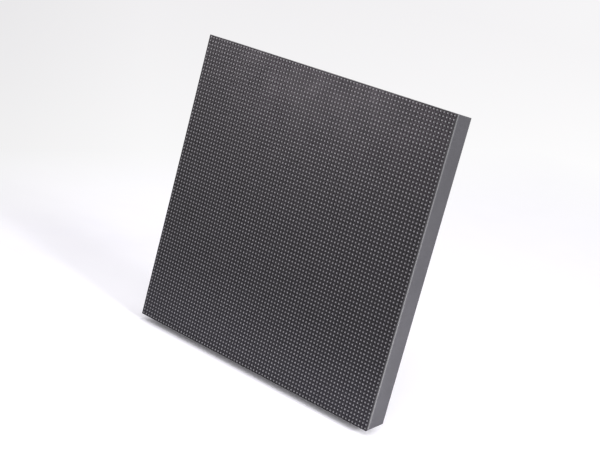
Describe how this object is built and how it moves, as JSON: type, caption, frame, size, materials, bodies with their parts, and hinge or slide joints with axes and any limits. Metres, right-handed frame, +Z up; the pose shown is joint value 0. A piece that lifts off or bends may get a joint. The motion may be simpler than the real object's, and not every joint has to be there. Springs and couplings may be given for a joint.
{
  "type": "rgb led matrix panel",
  "caption": "Square LED matrix panel: dark windowed front mask over LED packages on a circuit board, in a drafted, ribbed rear shell with screw inserts.",
  "frame": {"origin": "centre of the four cabinet screw inserts, on the rear plane that seats on a cabinet", "axes": "+Y out of the rear plane towards the cabinet, the LED face looks along -Y, +Z up"},
  "size_m": [0.16, 0.0165, 0.16],
  "materials": {
    "mask": "matt moulded",
    "led": "satin resin",
    "board": "solder mask",
    "shell": "fine moulded grain",
    "brass": "turned",
    "screw_steel": "zinc plated",
    "header_plastic": "moulded",
    "power_plastic": "moulded",
    "contact": "plated",
    "chip": "moulded epoxy",
    "ceramic": "fired ceramic",
    "resistor": "glazed",
    "can": "satin"
  },
  "bodies": {
    "root": {"front_mask": "mask", "led_rows": "led", "circuit_board": "board", "rear_shell": "shell", "threaded_insert_1": "brass", "threaded_insert_2": "brass", "threaded_insert_3": "brass", "threaded_insert_4": "brass", "shell_screws": "screw_steel", "board_nuts": "brass", "input_header_shroud": "header_plastic", "input_header_pins": "contact", "output_header_shroud": "header_plastic", "output_header_pins": "contact", "power_header_housing": "power_plastic", "power_header_pins": "contact", "column_driver_01": "chip", "column_driver_02": "chip", "column_driver_03": "chip", "column_driver_04": "chip", "column_driver_05": "chip", "column_driver_06": "chip", "column_driver_07": "chip", "column_driver_08": "chip", "column_driver_09": "chip", "column_driver_10": "chip", "column_driver_11": "chip", "column_driver_12": "chip", "column_driver_13": "chip", "column_driver_14": "chip", "column_driver_15": "chip", "column_driver_16": "chip", "column_driver_17": "chip", "column_driver_18": "chip", "column_driver_19": "chip", "column_driver_20": "chip", "column_driver_21": "chip", "column_driver_22": "chip", "column_driver_23": "chip", "column_driver_24": "chip", "column_driver_25": "chip", "column_driver_26": "chip", "column_driver_27": "chip", "column_driver_28": "chip", "column_driver_29": "chip", "column_driver_30": "chip", "ceramic_capacitors": "ceramic", "chip_resistors": "resistor", "row_driver_1": "chip", "row_driver_2": "chip", "row_driver_3": "chip", "row_driver_4": "chip", "row_driver_5": "chip", "signal_buffer_1": "chip", "signal_buffer_2": "chip", "electrolytic_capacitor_1": "can", "electrolytic_capacitor_2": "can"}
  },
  "joints": []
}
